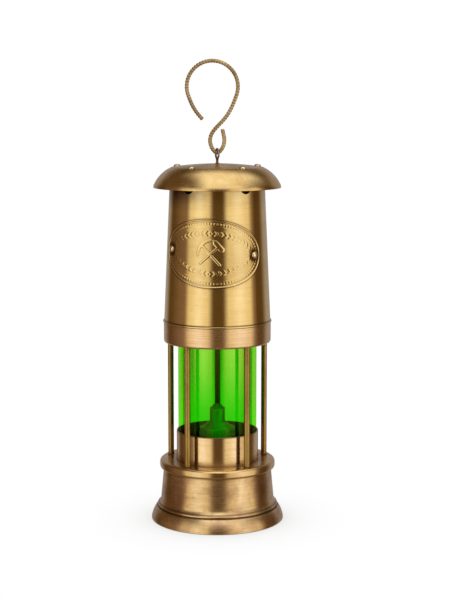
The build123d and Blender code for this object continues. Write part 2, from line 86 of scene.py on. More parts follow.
def rounded(corners, steps=6):
    """Closed outline from (radius, height, rounding) corners, in millimetres."""
    outline = []
    count = len(corners)
    for index, (r, z, bend) in enumerate(corners):
        here = Vector((r, z))
        if bend <= 0:
            outline.append(here)
            continue
        before = Vector(corners[index - 1][:2]) - here
        after = Vector(corners[(index + 1) % count][:2]) - here
        reach = bend / math.tan(before.angle(after) / 2)
        start = here + before.normalized() * min(reach, before.length * 0.48)
        end = here + after.normalized() * min(reach, after.length * 0.48)
        for step in range(steps + 1):
            t = step / steps
            outline.append(start * (1 - t) ** 2 + here * 2 * t * (1 - t) + end * t ** 2)
    return outline


def arc_through(start, middle, end, steps=16):
    """Points on the circle arc from start over middle to end, in the (radius, height) plane."""
    p, q, r = Vector(start), Vector(middle), Vector(end)
    turned = 2 * (p.x * (q.y - r.y) + q.x * (r.y - p.y) + r.x * (p.y - q.y))
    sizes = [point.length_squared for point in (p, q, r)]
    centre = Vector((
        (sizes[0] * (q.y - r.y) + sizes[1] * (r.y - p.y) + sizes[2] * (p.y - q.y)) / turned,
        (sizes[0] * (r.x - q.x) + sizes[1] * (p.x - r.x) + sizes[2] * (q.x - p.x)) / turned,
    ))
    first = math.degrees(math.atan2(p.y - centre.y, p.x - centre.x))
    last = math.degrees(math.atan2(r.y - centre.y, r.x - centre.x))
    return arc(centre, (p - centre).length, first, last, steps)


def arc(centre, radius, start, end, steps=12):
    """Points on an arc in the (radius, height) plane, angles in degrees."""
    points = []
    for step in range(steps + 1):
        turn = math.radians(start + (end - start) * step / steps)
        points.append(Vector((centre[0] + radius * math.cos(turn), centre[1] + radius * math.sin(turn))))
    return points


def build(name, vertices, faces):
    """Mesh object from vertices in millimetres, smooth but for its sharp edges."""
    mesh = bpy.data.meshes.new(name)
    mesh.from_pydata([tuple(Vector(v) * MM) for v in vertices], [], faces)
    return finish_mesh(name, mesh)


def finish_mesh(name, mesh):
    bm = bmesh.new()
    bm.from_mesh(mesh)
    bmesh.ops.remove_doubles(bm, verts=bm.verts, dist=1e-7)
    bmesh.ops.recalc_face_normals(bm, faces=bm.faces)
    bm.to_mesh(mesh)
    bm.free()
    mesh.polygons.foreach_set("use_smooth", [True] * len(mesh.polygons))
    mesh.set_sharp_from_angle(angle=SHARP_ANGLE)
    piece = bpy.data.objects.new(name, mesh)
    bpy.context.scene.collection.objects.link(piece)
    return piece


def turns(count):
    """Evenly spaced angles round a full turn."""
    return [2 * math.pi * step / count for step in range(count)]


def lathe_data(outline, segments=SEGMENTS):
    """Vertices and faces of a closed outline turned about the axis."""
    vertices = []
    faces = []
    rings = []
    for point in outline:
        if point[0] < 1e-6:
            rings.append([len(vertices)] * segments)
            vertices.append((0, 0, point[1]))
            continue
        rings.append(list(range(len(vertices), len(vertices) + segments)))
        for turn in turns(segments):
            vertices.append((point[0] * math.cos(turn), point[0] * math.sin(turn), point[1]))
    for index, ring in enumerate(rings):
        other = rings[(index + 1) % len(rings)]
        for step in range(segments):
            face = [ring[step], ring[(step + 1) % segments], other[(step + 1) % segments], other[step]]
            face = list(dict.fromkeys(face))
            if len(face) > 2:
                faces.append(face)
    return vertices, faces


def stepped(outline, longest=3.0):
    """The outline with its long stretches split, so that wear on an edge stays near that edge."""
    split = []
    for index, point in enumerate(outline):
        here = Vector(point)
        after = Vector(outline[(index + 1) % len(outline)])
        on_axis = here.x < 1e-6 and after.x < 1e-6
        count = 1 if on_axis else max(1, math.ceil((after - here).length / longest))
        split += [here.lerp(after, step / count) for step in range(count)]
    return split


def lathe(name, outline, segments=SEGMENTS):
    return build(name, *lathe_data(stepped(outline), segments))


def merged(parts):
    """One vertex and face list from several."""
    vertices = []
    faces = []
    for part_vertices, part_faces in parts:
        base = len(vertices)
        vertices += list(part_vertices)
        faces += [[base + corner for corner in face] for face in part_faces]
    return vertices, faces


def moved(data, matrix):
    vertices, faces = data
    return [matrix @ Vector(v) for v in vertices], faces


def around(data, angles):
    """Copies of a front feature at the given azimuths."""
    return merged([moved(data, Matrix.Rotation(math.radians(angle), 4, "Z")) for angle in angles])


def faces_between(rows, count):
    """Faces that join each ring of count vertices to the next one."""
    faces = []
    for row in range(rows - 1):
        for step in range(count):
            a = row * count + step
            b = row * count + (step + 1) % count
            faces.append([a, b, b + count, a + count])
    return faces


def tube_along(points, sections):
    """Closed skin over a list of rings, one ring of offsets per centreline point."""
    count = len(sections[0])
    vertices = []
    for point, section in zip(points, sections):
        vertices += [point + offset for offset in section]
    faces = faces_between(len(points), count)
    last = (len(points) - 1) * count
    faces.append(list(range(count))[::-1])
    faces.append([last + step for step in range(count)])
    return vertices, faces


def adopt(piece, node, material):
    """The piece takes the place, the body and the finish of a CAD node."""
    piece.data.materials.clear()
    piece.data.materials.append(material)
    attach(piece, BODY_OF[node])
    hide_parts(node)
    return piece


def dress(node, material):
    """A CAD node keeps its shape and gets a new material."""
    mesh = frame["nodes"][node].data
    mesh.materials.clear()
    mesh.materials.append(material)


# ---- Materials ----

class Graph:
    """Short calls for building a node material."""

    def __init__(self, owner):
        """Start an empty graph in a world, or in a new material of the given name."""
        self.owner = bpy.data.materials.new(owner) if isinstance(owner, str) else owner
        self.owner.use_nodes = True
        self.tree = self.owner.node_tree
        self.tree.nodes.clear()

    def node(self, kind, **settings):
        made = self.tree.nodes.new(kind)
        for key, value in settings.items():
            setattr(made, key, value)
        return made

    def put(self, socket, value):
        if isinstance(value, bpy.types.NodeSocket):
            self.tree.links.new(value, socket)
        elif value is not None:
            socket.default_value = value

    def fill(self, made, **inputs):
        """Set inputs by name, with _ for a space."""
        for key, value in inputs.items():
            self.put(made.inputs[key.replace("_", " ")], value)

    def math(self, operation, a, b=None, clamp=False):
        made = self.node("ShaderNodeMath", operation=operation, use_clamp=clamp)
        for socket, value in zip(made.inputs, (a, b)):
            self.put(socket, value)
        return made.outputs[0]

    def times(self, a, b):
        return self.math("MULTIPLY", a, b)

    def plus(self, a, b, clamp=False):
        return self.math("ADD", a, b, clamp=clamp)

    def place(self):
        """Position on the object."""
        return self.node("ShaderNodeTexCoord").outputs["Object"]

    def split(self, vector):
        made = self.node("ShaderNodeSeparateXYZ")
        self.put(made.inputs[0], vector)
        return made.outputs

    def combine(self, x, y, z):
        made = self.node("ShaderNodeCombineXYZ")
        for socket, value in zip(made.inputs, (x, y, z)):
            self.put(socket, value)
        return made.outputs[0]

    def noise(self, vector, scale, detail=3.0, roughness=0.55, distortion=0.0):
        made = self.node("ShaderNodeTexNoise")
        self.fill(made, Vector=vector, Scale=scale, Detail=detail, Roughness=roughness, Distortion=distortion)
        return made.outputs["Fac"]

    def ramp(self, factor, low, high, to_low=0.0, to_high=1.0):
        made = self.node("ShaderNodeMapRange", interpolation_type="SMOOTHSTEP")
        for socket, value in zip(made.inputs, (factor, low, high, to_low, to_high)):
            self.put(socket, value)
        return made.outputs[0]

    def mix(self, factor, a, b):
        made = self.node("ShaderNodeMix", data_type="RGBA")
        self.put(made.inputs["Factor"], factor)
        self.put(made.inputs[6], a)
        self.put(made.inputs[7], b)
        return made.outputs[2]

    def bump(self, height, strength, distance, normal=None):
        made = self.node("ShaderNodeBump")
        self.fill(made, Strength=strength, Distance=distance, Height=height, Normal=normal)
        return made.outputs["Normal"]

    def principled(self, **inputs):
        shader = self.node("ShaderNodeBsdfPrincipled")
        self.fill(shader, **inputs)
        return shader

    def output(self, shader):
        out = self.node("ShaderNodeOutputMaterial")
        self.tree.links.new(shader, out.inputs["Surface"])
        return self.owner


def rgb(r, g, b):
    return (r, g, b, 1.0)


BRASS_LIGHT = rgb(0.86, 0.65, 0.31)
BRASS_DEEP = rgb(0.72, 0.48, 0.20)
PATINA = rgb(0.17, 0.09, 0.03)
HEAT_STAIN = rgb(0.10, 0.055, 0.06)
ROSE = rgb(0.88, 0.615, 0.385)

GLASS_FACE = rgb(0.30, 0.87, 0.06)
# GLASS_RIM: paler tint where the glass is seen edge-on, a painted reflection of the background
GLASS_RIM = rgb(0.44, 0.87, 0.30)
GLASS_SHINE = rgb(0.86, 1.0, 0.18)

# Sizes of the marks on brass, in millimetres.
BRUSH_PITCH = 1.1
GRAIN = 0.8
CLOUD = 17
SPECKLE = 2.2
PIT = 0.9


def around_axis(g):
    """Object position and a direction-free position for marks that run round the axis."""
    place = g.place()
    x, y, z = g.split(place)
    radius = g.math("SQRT", g.plus(g.times(x, x), g.times(y, y)))
    safe = g.math("MAXIMUM", radius, 0.0005)
    lines = g.times(g.plus(z, radius), 1 / (BRUSH_PITCH * MM))
    return place, g.combine(g.math("DIVIDE", x, safe), g.math("DIVIDE", y, safe), lines)


def with_seam_shade(g, colour, z, seams):
    """Thin lines of painted shade at the given heights, along grooves and joints."""
    for seam in seams:
        off = g.math("ABSOLUTE", g.math("SUBTRACT", z, seam * MM))
        colour = g.mix(g.ramp(off, 0.20 * MM, 0.65 * MM, 0.7, 0.0), colour, PATINA)
    return colour


def with_axis_facing_dark(g, colour, x, y):
    """Darker colour on what faces the axis."""
    outward = g.node("ShaderNodeVectorMath", operation="DOT_PRODUCT")
    flat = g.node("ShaderNodeVectorMath", operation="NORMALIZE")
    g.put(flat.inputs[0], g.combine(x, y, 0.0))
    g.put(outward.inputs[0], flat.outputs[0])
    g.put(outward.inputs[1], g.node("ShaderNodeNewGeometry").outputs["Normal"])
    return g.mix(g.ramp(outward.outputs["Value"], -0.35, 0.25, 0.85, 0.0), colour, PATINA)


def with_heat_stain(g, colour, x, z, clouds, stain):
    """Heat colours that set in between two heights, heavier on the lamp's left."""
    clean, dark = stain
    heat = g.ramp(z, clean * MM, dark * MM)
    heat = g.times(heat, g.ramp(clouds, 0.34, 0.56, 0.75, 1.0))
    heat = g.times(heat, g.ramp(x, -20 * MM, -2 * MM, 1.0, 0.3))
    return g.mix(heat, colour, HEAT_STAIN)


def brass(name, light=BRASS_LIGHT, deep=BRASS_DEEP, rough=0.12, brush=0.5, blotch=0.5, patina=0.75,
          turned=True, recess=None, seams=(), stain=None, darker_facing_axis=False):
    """Aged brass: brushed marks, cloudy tarnish, dark recesses, pits and brighter worn edges.

    turned runs the marks round the axis; recess names a mesh attribute that darkens; seams are heights
    with a thin line of painted shade; stain is the (clean, dark) heights of a heat stain;
    darker_facing_axis darkens what faces the axis.
    """
    g = Graph(name)
    place, round_place = around_axis(g)
    if turned:
        marks = g.noise(round_place, 1.0, 4.0, 0.7)
    else:
        marks = g.noise(place, 1 / (GRAIN * MM), 3.0, 0.6)
    clouds = g.noise(place, 1 / (CLOUD * MM), 5.0, 0.6, 0.4)
    fine = g.noise(place, 1 / (SPECKLE * MM), 4.0, 0.65)
    pits = g.ramp(g.noise(place, 1 / (PIT * MM), 2.0), 0.70, 0.80)
    occlusion = g.node("ShaderNodeAmbientOcclusion", samples=6)
    occlusion.inputs["Distance"].default_value = 5 * MM
    hidden = g.ramp(occlusion.outputs["AO"], 0.35, 0.95, 1.0, 0.0)
    edge = g.ramp(g.node("ShaderNodeNewGeometry").outputs["Pointiness"], 0.53, 0.60)

    tone = g.ramp(clouds, 0.32, 0.72)
    tone = g.times(tone, blotch)
    tone = g.plus(tone, g.times(g.ramp(fine, 0.4, 0.75), 0.18), clamp=True)
    colour = g.mix(tone, light, deep)
    streak = g.times(g.ramp(marks, 0.40, 0.72), 0.35 * brush)
    colour = g.mix(streak, colour, PATINA)
    colour = g.mix(g.times(hidden, patina), colour, PATINA)
    colour = g.mix(g.times(pits, 0.45), colour, PATINA)
    if recess is not None:
        mask = g.node("ShaderNodeAttribute", attribute_name=recess).outputs["Fac"]
        colour = g.mix(g.times(mask, 0.96), colour, PATINA)
    x, y, z = g.split(place)
    # painted shade: thin dark lines along grooves and joints at the seams' heights
    colour = with_seam_shade(g, colour, z, seams)
    if darker_facing_axis:
        colour = with_axis_facing_dark(g, colour, x, y)
    if stain is not None:
        colour = with_heat_stain(g, colour, x, z, clouds, stain)
    colour = g.mix(g.times(edge, 0.55), colour, light)

    roughness = g.ramp(marks, 0.25, 0.8, rough * 0.85, rough * 1.35)
    roughness = g.plus(roughness, g.times(clouds, 0.05))
    roughness = g.plus(roughness, g.times(hidden, 0.18), clamp=True)
    normal = g.bump(marks, 0.10 * brush, 0.03 * MM)
    normal = g.bump(fine, 0.05, 0.05 * MM, normal)
    shader = g.principled(Base_Color=colour, Metallic=1.0, Roughness=roughness, Normal=normal)
    if turned:
        tangent = g.node("ShaderNodeTangent", direction_type="RADIAL", axis="Z")
        g.fill(shader, Tangent=tangent.outputs[0], Anisotropic=0.75, Anisotropic_Rotation=0.25)
    return g.output(shader.outputs[0])


def green_glass():
    """Green glass that tints what is behind it without bending it.

    It is paler where it is seen edge-on, a painted reflection of the background, and its yellow-green reflection
    fades downwards.
    """
    g = Graph("green_glass")
    place = g.place()
    rise = g.ramp(g.split(place)[2], foot_of("glass") * MM, foot_of("upper_ring") * MM)
    smear = g.noise(place, 1 / (6 * MM), 4.0)
    grazing = g.node("ShaderNodeLayerWeight")
    grazing.inputs["Blend"].default_value = 0.5
    # painted reflection: the tint turns paler where the glass is seen edge-on
    rim = g.ramp(grazing.outputs["Facing"], 0.55, 0.98)
    clear = g.node("ShaderNodeBsdfTransparent")
    g.put(clear.inputs["Color"], g.mix(rim, GLASS_FACE, GLASS_RIM))
    shine = g.node("ShaderNodeBsdfGlossy")
    g.put(shine.inputs["Color"], GLASS_SHINE)
    g.put(shine.inputs["Roughness"], g.ramp(smear, 0.3, 0.8, 0.03, 0.10))
    fresnel = g.node("ShaderNodeFresnel")
    fresnel.inputs["IOR"].default_value = 1.5
    at_foot, added_at_top, most = 0.4, 6.0, 0.34
    fade = g.plus(at_foot, g.times(g.math("POWER", rise, 2.2), added_at_top))
    amount = g.times(fresnel.outputs[0], fade)
    amount = g.math("MINIMUM", amount, most)
    inside = g.node("ShaderNodeNewGeometry").outputs["Backfacing"]
    amount = g.times(amount, g.math("SUBTRACT", 1.0, g.times(inside, 0.8)))
    blend = g.node("ShaderNodeMixShader")
    g.put(blend.inputs[0], amount)
    g.put(blend.inputs[1], clear.outputs[0])
    g.put(blend.inputs[2], shine.outputs[0])
    return g.output(blend.outputs[0])


def cloth(name, light, dark, scale):
    """Loose or braided cotton."""
    g = Graph(name)
    place = g.place()
    strands = g.node("ShaderNodeTexWave", wave_type="BANDS", bands_direction="DIAGONAL")
    g.fill(strands, Vector=place, Scale=scale, Distortion=2.5, Detail=3.0)
    fuzz = g.noise(place, 1 / (0.7 * MM), 5.0)
    height = g.plus(strands.outputs["Fac"], g.times(fuzz, 0.6))
    colour = g.mix(g.ramp(height, 0.4, 1.3), dark, light)
    shader = g.principled(
        Base_Color=colour,
        Roughness=0.95,
        Sheen_Weight=0.3,
        Normal=g.bump(height, 0.7, 0.3 * MM),
    )
    return g.output(shader.outputs[0])


def rubber():
    g = Graph("seal_rubber")
    place = g.place()
    grain = g.noise(place, 1 / (0.6 * MM), 4.0)
    dust = g.noise(place, 1 / (9 * MM), 3.0)
    colour = g.mix(g.ramp(dust, 0.35, 0.75), rgb(0.030, 0.026, 0.022), rgb(0.085, 0.075, 0.062))
    shader = g.principled(
        Base_Color=colour,
        Roughness=g.ramp(grain, 0.3, 0.7, 0.55, 0.8),
        Normal=g.bump(grain, 0.4, 0.1 * MM),
    )
    return g.output(shader.outputs[0])


def wire_cloth():
    """Fine woven steel wire, dark between the wires."""
    wires_round = 90.0
    weft_pitch = 1.4
    g = Graph("wire_cloth")
    place = g.place()
    x, y, z = g.split(place)
    turn = g.times(g.math("ARCTAN2", y, x), wires_round)
    rise = g.times(z, 2 * math.pi / (weft_pitch * MM))
    warp = g.math("ABSOLUTE", g.math("SINE", turn))
    weft = g.math("ABSOLUTE", g.math("SINE", rise))
    wires = g.math("MAXIMUM", warp, weft)
    rust = g.noise(place, 1 / (12 * MM), 4.0)
    metal = g.mix(g.ramp(rust, 0.45, 0.7), rgb(0.36, 0.34, 0.31), rgb(0.30, 0.19, 0.12))
    # painted shade: near-black between the wires stands for the dark inside seen through the gauze
    colour = g.mix(g.ramp(wires, 0.55, 0.85), rgb(0.01, 0.01, 0.01), metal)
    shader = g.principled(
        Base_Color=colour,
        Metallic=0.9,
        Roughness=0.42,
        Normal=g.bump(wires, 0.9, 0.25 * MM),
    )
    return g.output(shader.outputs[0])


# ---- Vessel ----

def base_shell(material):
    """Rounded foot, bead between two grooves, hollow cove and tapering wall."""
    foot = radius_of("base_shell")
    deck = top_of("base_shell")
    wall = 1.6
    low_r, bend_r, top_r = 37.2, 36.0, 35.4
    collar_r = 24.4
    plate_r = 40.4
    groove_below = [Vector((39.1, 9.1)), Vector((39.0, 9.3))]
    bead = arc((38.6, 10.15), 0.95, -62, 68, 10)
    groove_above = [Vector((38.8, 11.15)), Vector((38.7, 11.3))]
    cove_z, cove_rise, cove_depth, cove_power = 11.4, 3.4, 1.45, 2.2
    cove = [
        Vector((low_r + cove_depth * (1 - t) ** cove_power, cove_z + cove_rise * t))
        for t in (0.1, 0.25, 0.4, 0.6, 0.8, 1.0)
    ]
    outline = [Vector((foot, 0.4)), Vector((foot, 1.5))]
    outline += arc_through((foot - 0.15, 2.1), (foot - 2.0, 6.9), (foot - 3.4, 9.0), 10)
    outline += groove_below + bead + groove_above + cove
    outline += rounded([
        (bend_r, 27.6, 0), (top_r, deck, 0.35), (collar_r, deck, 0), (collar_r, deck - wall, 0),
        (top_r - wall, deck - wall, 0.8), (low_r - wall, 14.5, 1), (low_r - wall, 10.2, 1),
        (plate_r, 3.2, 1), (plate_r, 0, 0), (foot - 0.5, 0, 0),
    ])
    return adopt(lathe("base_shell_spun", outline), "base_shell", material)


def bottom_plate(material):
    """Plate with a shallow turned ring and a centre dimple on its underside."""
    edge = radius_of("base_bottom_plate")
    top = top_of("base_bottom_plate")
    dimple_r, dimple_depth = 1.6, 0.5
    groove_r, groove_depth = 28.1, 0.4
    outline = rounded([
        (edge, 0, 0.15), (edge, top, 0.15), (0, top, 0), (0, dimple_depth, 0),
        (dimple_r, dimple_depth, 0.3), (dimple_r + 0.8, 0, 0.3),
        (groove_r - 1.1, 0, 0.2), (groove_r - 0.5, groove_depth, 0.2),
        (groove_r + 0.5, groove_depth, 0.2), (groove_r + 1.1, 0, 0.2),
    ])
    return adopt(lathe("vessel_bottom", outline), "base_bottom_plate", material)


def wadding(material):
    """Loose cotton pressed into the vessel: a lumpy ring."""
    outer, low, high = reach_of("oil_wadding")
    hole = 6.5
    corner_power = 5
    lump_size, fill, lumpiness = 7.0, 0.93, 0.06
    middle = Vector(((outer + hole) / 2, (low + high) / 2))
    half = Vector(((outer - hole) / 2, (high - low) / 2))
    outline = []
    for turn in turns(40):
        cos, sin = math.cos(turn), math.sin(turn)
        square = (abs(cos) ** corner_power + abs(sin) ** corner_power) ** (-1 / corner_power)
        outline.append(Vector((middle.x + half.x * cos * square, middle.y + half.y * sin * square)))
    vertices, faces = lathe_data(outline, 120)
    lumpy = []
    for vertex in vertices:
        place = Vector(vertex)
        ring_centre = place.copy()
        ring_centre.z = 0
        ring_centre = ring_centre.normalized() * middle.x
        ring_centre.z = middle.y
        lump = max(-1.0, min(1.0, noise.fractal(place / lump_size, 1.0, 2.0, 4)))
        lumpy.append(ring_centre + (place - ring_centre) * (fill + lumpiness * lump))
    return adopt(build("cotton_wadding", lumpy, faces), "oil_wadding", material)


# ---- Cage and glass ----

def lower_ring(material):
    """Ring under the pillars, with rounded edges and a shallow recess round the foot of its bore."""
    edge, low, high = reach_of("lower_ring")
    recess_r, recess_depth = 29.6, 1.2
    bore_low, bore_high = 26.8, 26.85
    outline = rounded([
        (bore_low, low + recess_depth, 0), (recess_r, low + recess_depth, 0), (recess_r, low, 0),
        (edge, low, 2.0), (edge, high, 2.2), (bore_high, high, 0.1),
    ], 8)
    return adopt(lathe("pillar_ring", outline), "lower_ring", material)


def glass_cup(material):
    """Cup around the foot of the glass, with a ledge inside it."""
    edge, low, high = reach_of("glass_cup")
    bore = 24.66
    ledge_low, ledge_high = 43.4, 45.0
    outline = rounded([
        (bore, low, 0), (edge, low, 0), (edge, high, 0.35), (GLASS_SEAT_R, high, 0.2),
        (GLASS_SEAT_R, ledge_high, 0), (GLASS_BORE_R, ledge_high, 0.2), (GLASS_BORE_R, ledge_low, 0.2),
        (bore, ledge_low, 0),
    ])
    return adopt(lathe("glass_holder", outline), "glass_cup", material)


def glass_tube(material):
    """Plain cylinder with rounded rims."""
    edge, low, high = reach_of("glass")
    rim = 0.5
    outline = rounded([
        (GLASS_BORE_R, low, rim), (edge, low, rim), (edge, high, rim), (GLASS_BORE_R, high, rim),
    ], 4)
    return adopt(lathe("glass_cylinder", outline, 256), "glass", material)


def upper_ring(material):
    """Band: a seat for the glass below, a ledge inside, room for the bonnet's skirt above."""
    edge, low, high = reach_of("upper_ring")
    skirt_bore = 33.5
    ledge_low, ledge_high = 122.5, 125.5
    outline = rounded([
        (GLASS_SEAT_R, low, 0.2), (edge, low, 1.7), (edge, high, 0.3), (skirt_bore, high, 0.2),
        (skirt_bore, ledge_high, 0.3), (GLASS_BORE_R, ledge_high, 0.2), (GLASS_BORE_R, ledge_low, 0),
        (GLASS_SEAT_R, ledge_low, 0),
    ], 8)
    return adopt(lathe("band", outline), "upper_ring", material)


def pillars(material):
    """Straight pillars with a small turned shoulder at each end and a thinner tenon on top."""
    low = foot_of("pillars")
    top = top_of("pillars")
    band = foot_of("upper_ring")
    circle_r = 32.5
    r, tenon_r = 2.0, 1.3
    waist_r = r - 0.12
    collar, slope, sunk = 1.3, 0.2, 2.5
    outline = rounded([
        (0, low, 0), (r, low, 0.2), (r, low + collar, 0.1), (waist_r, low + collar + slope, 0.1),
        (waist_r, band - collar - slope, 0.1), (r, band - collar, 0.1), (r, band + sunk, 0.1),
        (tenon_r, band + sunk, 0), (tenon_r, top, 0.2), (0, top, 0),
    ], 3)
    one = moved(lathe_data(outline, 32), Matrix.Translation((0, -circle_r, 0)))
    piece = build("pillar_set", *around(one, PATTERN_ANGLES))
    return adopt(piece, "pillars", material)


# ---- Bonnet, plate and hood ----

LIP_TOP = 132.7
BONNET_LOW_R = 34.66
BONNET_TAPER = 3.6 / 82.0
VENT_R = 4.0
VENT_Z = 220


def bonnet_radius(z):
    return BONNET_LOW_R - BONNET_TAPER * (z - LIP_TOP)


def cut_holes(piece, cutters):
    """Cuts closed cutter objects out of a piece and removes them."""
    for cutter in cutters:
        cut = piece.modifiers.new("cut", "BOOLEAN")
        cut.operation = "DIFFERENCE"
        cut.solver = "EXACT"
        cut.object = cutter
    shaped = bpy.data.meshes.new_from_object(piece.evaluated_get(bpy.context.evaluated_depsgraph_get()))
    piece.modifiers.clear()
    name = piece.name
    bpy.data.objects.remove(piece)
    for cutter in cutters:
        bpy.data.objects.remove(cutter)
    return finish_mesh(name, shaped)


def vent_cutters():
    """Rods that lie across the chimney's wall, one for each vent."""
    inner, outer = 22, 40
    rod = rounded([(0, inner, 0), (VENT_R, inner, 0), (VENT_R, outer, 0), (0, outer, 0)])
    cutters = []
    for angle in PATTERN_ANGLES:
        spin = Matrix.Rotation(math.radians(angle), 4, "Z")
        lay = Matrix.Translation((0, 0, VENT_Z)) @ spin @ Matrix.Rotation(math.radians(90), 4, "X")
        cutters.append(build("vent_cutter", *moved(lathe_data(rod, 48), lay)))
    return cutters


def bonnet(material):
    """Tapering chimney with a thin lip, a skirt in the band and round vents near the top."""
    lip, low, top = reach_of("bonnet")
    band = top_of("upper_ring")
    wall = 0.9
    skirt = 33.45
    middle = (LIP_TOP + top) / 2
    outline = rounded([
        (skirt, low, 0.1), (skirt, band, 0), (lip, band, 0.45), (lip, LIP_TOP, 0.45),
        (BONNET_LOW_R, LIP_TOP, 0.25), (bonnet_radius(middle), middle, 0), (bonnet_radius(top), top, 0.25),
        (bonnet_radius(top) - wall, top, 0.2), (BONNET_LOW_R - wall, LIP_TOP, 0.5),
        (skirt - wall, band, 0.5), (skirt - wall, low, 0.1),
    ], 4)
    piece = lathe("bonnet_chimney", outline, 240)
    return adopt(cut_holes(piece, vent_cutters()), "bonnet", material)


PLATE_A = 36.5
PLATE_B = 22.0
PLATE_AZIMUTH = -7.5
PLATE_TILT = -3.0
PLATE_MIDDLE = (foot_of("name_plate") + top_of("name_plate")) / 2
RIVET_ARC = 30.9


def smooth_step(value):
    t = np.clip(value, 0.0, 1.0)
    return t * t * (3 - 2 * t)


def capsule(u, v, start, end, half_width, soft=0.28):
    """1 inside a thick line, falling softly to 0 outside it."""
    along = np.array(end) - np.array(start)
    t = np.clip(((u - start[0]) * along[0] + (v - start[1]) * along[1]) / along.dot(along), 0, 1)
    distance = np.hypot(u - start[0] - t * along[0], v - start[1] - t * along[1])
    return smooth_step((half_width + soft - distance) / (2 * soft))


def leaf(u, v, centre, angle, length, width):
    turn = math.radians(angle)
    x = (u - centre[0]) * math.cos(turn) + (v - centre[1]) * math.sin(turn)
    y = -(u - centre[0]) * math.sin(turn) + (v - centre[1]) * math.cos(turn)
    body = 1 - (np.abs(x) / length) ** 2
    return np.clip(body - (y / width) ** 2, 0, 1) ** 0.6


def edge_distance(u, v):
    """Distance in from the oval's edge."""
    rho = np.hypot(u / PLATE_A, v / PLATE_B)
    slope = np.hypot(u / PLATE_A ** 2, v / PLATE_B ** 2) / np.maximum(rho, 1e-6)
    return (1 - rho) / np.maximum(slope, 1e-6)


def oval_beads(inset, spacing):
    """Evenly spaced points on an oval inset from the plate's edge."""
    a, b = PLATE_A - inset, PLATE_B - inset
    turn = np.linspace(0, 2 * np.pi, 2001)
    x, y = a * np.cos(turn), b * np.sin(turn)
    length = np.concatenate([[0], np.cumsum(np.hypot(np.diff(x), np.diff(y)))])
    count = int(round(length[-1] / spacing))
    marks = np.interp(np.arange(count) * length[-1] / count, length, turn)
    return np.stack([a * np.cos(marks), b * np.sin(marks)], 1)


def emblem(u, v):
    """Crossed hammer and pick."""
    grip_x, neck_x = 6.4, 5.3
    grip_y, neck_y = -6.6, 4.9
    handle_r, hammer_r = 0.6, 1.45
    parts = [
        capsule(u, v, (-side * grip_x, grip_y), (side * neck_x, neck_y), handle_r)
        for side in (1, -1)
    ]
    parts.append(capsule(u, v, (3.1, 7.1), (7.3, 2.9), hammer_r))
    hub_x, hub_y, reach = 0.5, -0.2, 8.7
    first, swing, steps = 80, 110, 8

    def on_pick(step):
        turn = math.radians(first + swing * step / steps)
        return hub_x + reach * math.cos(turn), hub_y + reach * math.sin(turn)

    for step in range(steps):
        thick = 0.3 + 0.7 * math.sin(math.pi * (step + 0.5) / steps)
        parts.append(capsule(u, v, on_pick(step), on_pick(step + 1), thick))
    return np.maximum.reduce(parts)


def wreath(u, v):
    """Leaves in pairs that climb both sides of an oval and meet at its top."""
    inset, spacing = 9.2, 3.1
    leaf_angle, leaf_offset = 34, 1.2
    leaf_length, leaf_width = 1.75, 0.62
    a, b = PLATE_A - inset, PLATE_B - inset
    parts = []
    for x, y in oval_beads(inset, spacing):
        upward = math.degrees(math.atan2(abs(x) * b / a, -math.copysign(y * a / b, x)))
        for angle in (upward - leaf_angle, upward + leaf_angle):
            tip = math.radians(angle)
            middle = (x + leaf_offset * math.cos(tip), y + leaf_offset * math.sin(tip))
            parts.append(leaf(u, v, middle, angle, leaf_length, leaf_width))
    return np.maximum.reduce(parts)


def plate_relief(u, v):
    """(height, darkness) of the plate's face, in millimetres and 0 to 1."""
    rim_width, line_inset, bead_inset = 1.35, 4.9, 3.1
    bead_spacing, bead_r = 1.9, 0.72
    dimple_r, halo_r = 3.6, 5.6
    inset = edge_distance(u, v)
    rim = smooth_step((rim_width - inset) / 0.5)
    line = smooth_step(1 - np.abs(inset - line_inset) / 0.45)
    beads = oval_beads(bead_inset, bead_spacing)
    nearest = np.min(np.hypot(u[:, None] - beads[:, 0], v[:, None] - beads[:, 1]), axis=1)
    bead = np.sqrt(np.clip(1 - (nearest / bead_r) ** 2, 0, 1))
    badge = emblem(u, v)
    leaves = wreath(u, v)
    from_rivet = np.minimum(np.hypot(u - RIVET_ARC, v), np.hypot(u + RIVET_ARC, v))
    dimple = smooth_step((dimple_r - from_rivet) / 1.6)
    halo = smooth_step((halo_r - from_rivet) / 2.4)
    clear = 1 - dimple
    height = 0.34 * rim + clear * (0.16 * bead + 0.08 * line + 0.19 * badge + 0.16 * leaves) - 0.15 * dimple
    raised = np.maximum.reduce([rim, bead, line, badge, leaves])
    beside = smooth_step((inset - 1.0) / 0.4) * (1 - raised)
    rough = smooth_step(1 - np.abs(inset - 2.0) / 0.7)
    outline = smooth_step((0.60 - inset) / 0.25)
    veins = smooth_step(1 - np.abs(leaves - 0.3) / 0.3)
    dark = np.clip(beside * (0.14 + 0.35 * rough) + 0.45 * veins + halo + outline, 0, 1)
    return height, dark


def on_bonnet(arc_length, height, lift):
    """Point over the bonnet's front from arc length and height, both from the plate's middle."""
    z = PLATE_MIDDLE + height
    turn = math.radians(PLATE_AZIMUTH) + arc_length / (bonnet_radius(PLATE_MIDDLE) + 1.0)
    radius = bonnet_radius(z) + lift
    return Vector((radius * math.sin(turn), -radius * math.cos(turn), z))


